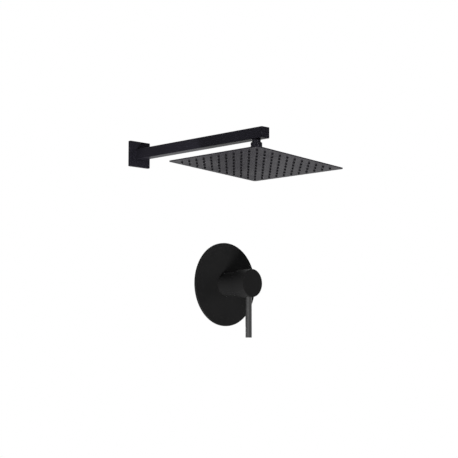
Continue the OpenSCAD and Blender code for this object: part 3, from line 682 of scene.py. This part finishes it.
def make_screw_cover():
    """Small plug over the grub screw, at the hub's right."""
    low, high, _, extent = size_of("set_screw_cover")
    radius, inner, outer = extent.z / 2, low.x - valve.x, high.x - valve.x
    profile = [(AXIS_R, inner), (radius, inner), (radius, outer, 0.25 * MM), (AXIS_R, outer)]
    cover = turned("screw_plug", profile, from_hub("set_screw_cover", math.pi / 2, "Y"), 48)
    stands_for(cover, "set_screw_cover", "handle")


def make_lever():
    """Round lever below the hub, with its thin stub in the hub's boss."""
    low, high, _, extent = size_of("lever_rod")
    radius, head, tip = extent.x / 2, valve.z - high.z, valve.z - low.z
    stub = radius - 3.5 * MM
    seat = hub_radius() - LEVER_SEAT + SLIP
    profile = [
        (AXIS_R, head), (stub, head, 0.3 * MM), (stub, seat), (radius, seat, 0.2 * MM),
        (radius, tip, 0.9 * MM), (AXIS_R, tip),
    ]
    lever = turned("lever", profile, from_hub("lever_rod", math.pi, "X"), 96)
    # the lever takes the black coat with the painted highlight (lighter base colour)
    paint(stands_for(lever, "lever_rod", "handle"), lever_painted_highlight_coat)


for make in (make_flange, make_arm, make_arm_end, make_nipple, make_stem, make_collar, make_boss,
             make_top_plate, make_face_plate, make_nozzles, make_trim_plate, make_sleeve, make_hub,
             make_screw_cover, make_lever):
    make()

# ---------------------------------------------------------------- camera, light and floor

PHOTO_SIDE = 458
CAMERA_AT = (-1.745, -2.066, -0.444)
CAMERA_YAW = -44.56
CAMERA_PITCH = -5.82
FOCAL_WIDTHS = 1200 / PHOTO_SIDE  # focal length as a share of the frame's width
SENSOR = 36
FLOOR_Z = -1.9
FLOOR_REACH = 4
FLOOR_WHITE = 0.94
WORLD_LIGHT = 0.02
MIXER_FRONT = (0.25, -0.05, -0.28)
ARM_TIP = (0.0, -0.4, 0.0)

# name, place, target, size, watts, beam: a key from the lower left and five fills
LAMPS = (
    ("low_key", (-1.15, -1.1, -1.65), MIXER_FRONT, (0.7, 0.7), 74, 180),
    ("side_strip", (-1.9, -1.0, -0.9), (0.25, -0.05, -0.30), (0.14, 1.1), 12, 180),
    ("end_fill", (-0.15, -1.0, 0.05), ARM_TIP, (0.2, 0.2), 0.13, 30),
    ("arm_fill", (-0.5, -0.42, 0.02), (0.0, -0.31, 0.0), (0.1, 0.1), 0.12, 50),
    ("top_fill", (1.3, 0.2, 1.9), (0.1, -0.2, -0.1), (1.0, 1.0), 38, 180),
    ("back_fill", (0.9, 2.1, 0.2), (0.2, 0.0, -0.2), (1.0, 1.0), 28, 180),
)


def make_camera():
    """Long-lens camera in front of the set, at its left and below the arm."""
    yaw, pitch = math.radians(CAMERA_YAW), math.radians(CAMERA_PITCH)
    back = Vector((math.sin(yaw) * math.cos(pitch), -math.cos(yaw) * math.cos(pitch), math.sin(pitch)))
    right = Vector((math.cos(yaw), math.sin(yaw), 0))
    up = back.cross(right)
    camera = bpy.data.objects.new("camera", bpy.data.cameras.new("camera"))
    camera.data.sensor_width = SENSOR
    camera.data.lens = SENSOR * FOCAL_WIDTHS
    camera.data.clip_end = 100
    camera.matrix_world = Matrix.Translation(CAMERA_AT) @ Matrix((right, up, back)).transposed().to_4x4()
    bpy.context.scene.collection.objects.link(camera)
    bpy.context.scene.camera = camera


def seen_white(tree, shade, lit, share=1.0):
    """Shows the white shade to the camera and in reflections, by the given share, over the lit one."""
    path = tree.nodes.new("ShaderNodeLightPath")
    seen = tree.nodes.new("ShaderNodeMath")
    seen.operation = "MAXIMUM"
    tree.links.new(path.outputs["Is Camera Ray"], seen.inputs[0])
    mirrored = tree.nodes.new("ShaderNodeMath")
    mirrored.operation = "MAXIMUM"
    tree.links.new(path.outputs["Is Glossy Ray"], mirrored.inputs[0])
    tree.links.new(path.outputs["Is Transmission Ray"], mirrored.inputs[1])
    tree.links.new(mirrored.outputs[0], seen.inputs[1])
    part = tree.nodes.new("ShaderNodeMath")
    part.operation = "MULTIPLY"
    part.inputs[1].default_value = share
    tree.links.new(seen.outputs[0], part.inputs[0])
    mix = tree.nodes.new("ShaderNodeMixShader")
    tree.links.new(part.outputs[0], mix.inputs[0])
    tree.links.new(lit, mix.inputs[1])
    tree.links.new(shade, mix.inputs[2])
    return mix.outputs[0]


def make_world():
    """White to the camera and in reflections, and a faint light on the object."""
    world = bpy.data.worlds.new("studio")
    world.use_nodes = True
    tree = world.node_tree
    tree.nodes.clear()
    dim = tree.nodes.new("ShaderNodeBackground")
    dim.inputs["Color"].default_value = (1, 1, 1, 1)
    dim.inputs["Strength"].default_value = WORLD_LIGHT
    white = tree.nodes.new("ShaderNodeBackground")
    white.inputs["Color"].default_value = (1, 1, 1, 1)
    white.inputs["Strength"].default_value = 1
    out = tree.nodes.new("ShaderNodeOutputWorld")
    tree.links.new(seen_white(tree, white.outputs[0], dim.outputs[0]), out.inputs["Surface"])
    bpy.context.scene.world = world


def make_lamp(name, place, target, size, watts, beam):
    """Soft rectangular lamp; the beam is the full angle of its light in degrees."""
    lamp = bpy.data.objects.new(name, bpy.data.lights.new(name, "AREA"))
    lamp.data.shape = "RECTANGLE"
    lamp.data.size, lamp.data.size_y = size
    lamp.data.energy = watts
    lamp.data.spread = math.radians(beam)
    lamp.location = place
    lamp.rotation_euler = (Vector(target) - Vector(place)).to_track_quat("-Z", "Y").to_euler()
    bpy.context.scene.collection.objects.link(lamp)


def make_floor():
    """Pale floor: mostly white to the camera, with the rest left to its own light and shadow."""
    mesh = bpy.data.meshes.new("floor")
    sides = ((-1, -1), (1, -1), (1, 1), (-1, 1))
    corners = [(FLOOR_REACH * x, FLOOR_REACH * y, FLOOR_Z) for x, y in sides]
    mesh.from_pydata(corners, [], [(0, 1, 2, 3)])
    floor = bpy.data.objects.new("floor", mesh)
    bpy.context.scene.collection.objects.link(floor)
    material, tree, shader = new_material("floor", (0.92, 0.92, 0.92), 0.9, 0.1)
    white = tree.nodes.new("ShaderNodeEmission")
    white.inputs["Strength"].default_value = 1
    surface = tree.nodes["Material Output"].inputs["Surface"]
    tree.links.new(seen_white(tree, white.outputs[0], shader.outputs[0], FLOOR_WHITE), surface)
    paint(floor, material)


make_camera()
make_world()
for lamp in LAMPS:
    make_lamp(*lamp)
make_floor()

view = bpy.context.scene.view_settings
view.view_transform = "Standard"
